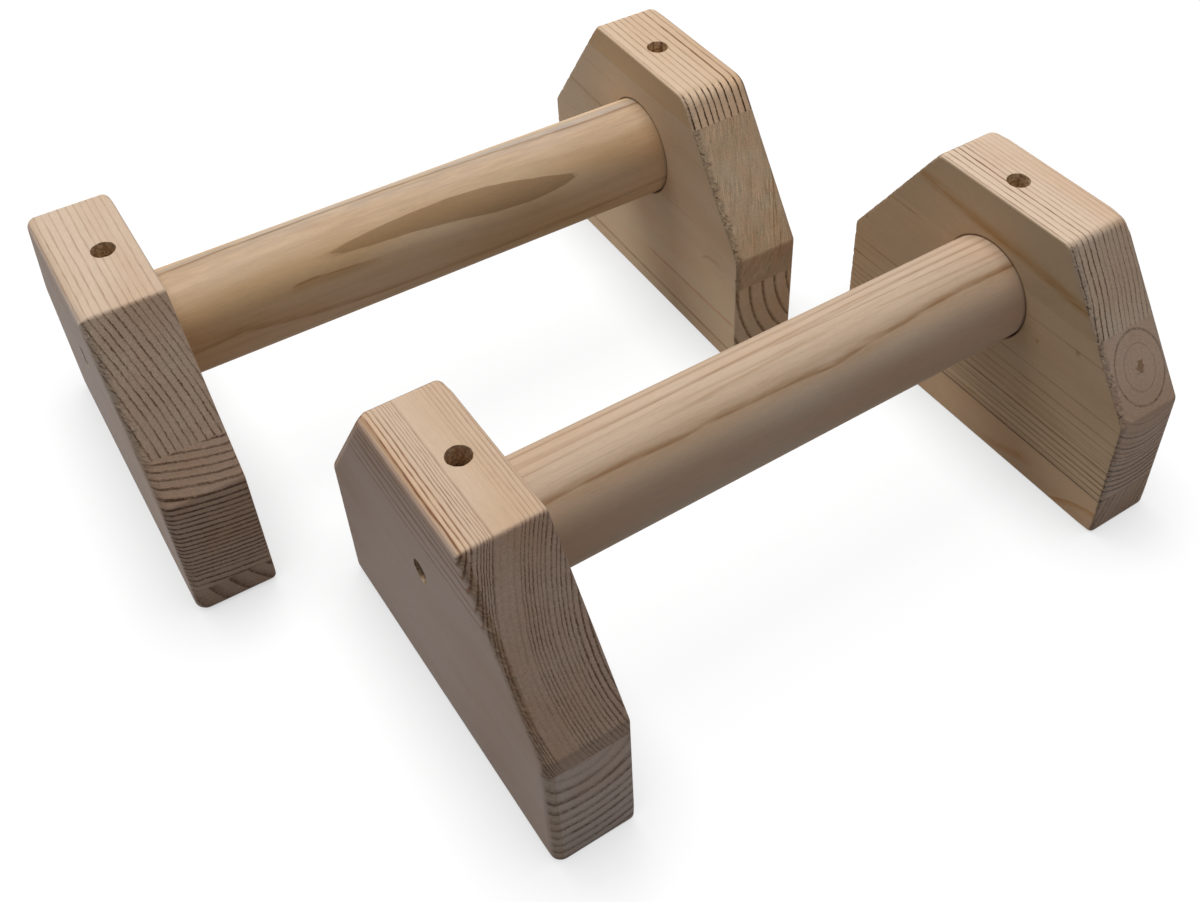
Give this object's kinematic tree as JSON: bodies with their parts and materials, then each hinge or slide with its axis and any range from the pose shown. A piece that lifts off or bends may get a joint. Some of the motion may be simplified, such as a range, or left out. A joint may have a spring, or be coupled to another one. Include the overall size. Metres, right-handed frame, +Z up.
{
  "type": "parallette bar pair",
  "caption": "Low wooden parallettes for push-ups and handstands: round handles held between chamfered end blocks of glued pine boards, with hidden screws.",
  "frame": {"origin": "on the floor, at the centre of the bounding box of the two bars as they stand", "axes": "+X along the handles, +Y from the front bar to the rear bar, +Z up"},
  "size_m": [0.3148, 0.291, 0.11],
  "materials": {
    "block_pine": "sanded, untreated glued pine boards",
    "pale_handle_pine": "turned and sanded pine dowel, untreated",
    "golden_handle_pine": "turned and sanded pine dowel, golden heartwood",
    "screw_steel": "yellow passivated steel"
  },
  "bodies": {
    "front_bar": {"front_handle": "pale_handle_pine", "front_left_top_board": "block_pine", "front_left_foot_board": "block_pine", "front_right_top_board": "block_pine", "front_right_middle_board": "block_pine", "front_right_foot_board": "block_pine", "front_left_end_screw": "screw_steel", "front_right_end_screw": "screw_steel", "front_left_lock_screw": "screw_steel", "front_right_lock_screw": "screw_steel"},
    "rear_bar": {"rear_handle": "golden_handle_pine", "rear_left_top_board": "block_pine", "rear_left_middle_board": "block_pine", "rear_left_foot_board": "block_pine", "rear_right_top_board": "block_pine", "rear_right_middle_board": "block_pine", "rear_right_foot_board": "block_pine", "rear_left_end_screw": "screw_steel", "rear_right_end_screw": "screw_steel", "rear_left_lock_screw": "screw_steel", "rear_right_lock_screw": "screw_steel"}
  },
  "joints": [
    {"name": "pair_spacing", "type": "slide", "parent": "front_bar", "child": "rear_bar", "axis": [0, 1, 0], "range_m": [0, 0.4]}
  ]
}
